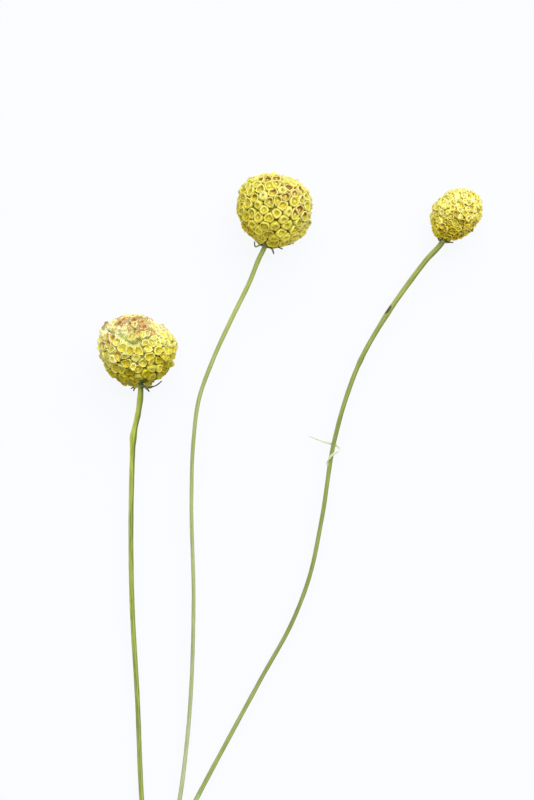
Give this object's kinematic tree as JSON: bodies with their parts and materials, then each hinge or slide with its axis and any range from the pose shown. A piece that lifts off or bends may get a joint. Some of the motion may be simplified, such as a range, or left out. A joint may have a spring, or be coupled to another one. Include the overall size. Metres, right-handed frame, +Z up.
{
  "type": "branched flower stem with ball-shaped heads",
  "caption": "Cut, branched stem with long bare stalks, each ending in a ball of packed tubular yellow florets over narrow green bracts. It lies flat.",
  "frame": {"origin": "centre of the footprint, on the table that the stem lies on", "axes": "+Y from the cut end to the heads, +Z up from the table"},
  "size_m": [0.0656, 0.1379, 0.0129],
  "materials": {
    "green_stem": "matte green plant skin, faintly ridged lengthwise",
    "old_florets": "matte petal tissue, olive yellow with dried brown tips",
    "full_florets": "matte petal tissue, pale rims and olive yellow cups",
    "young_florets": "matte petal tissue, golden yellow buds"
  },
  "bodies": {
    "root": {"leafy_stem": "green_stem", "left_head_florets": "old_florets", "middle_head_florets": "full_florets", "right_head_florets": "young_florets"}
  },
  "joints": []
}
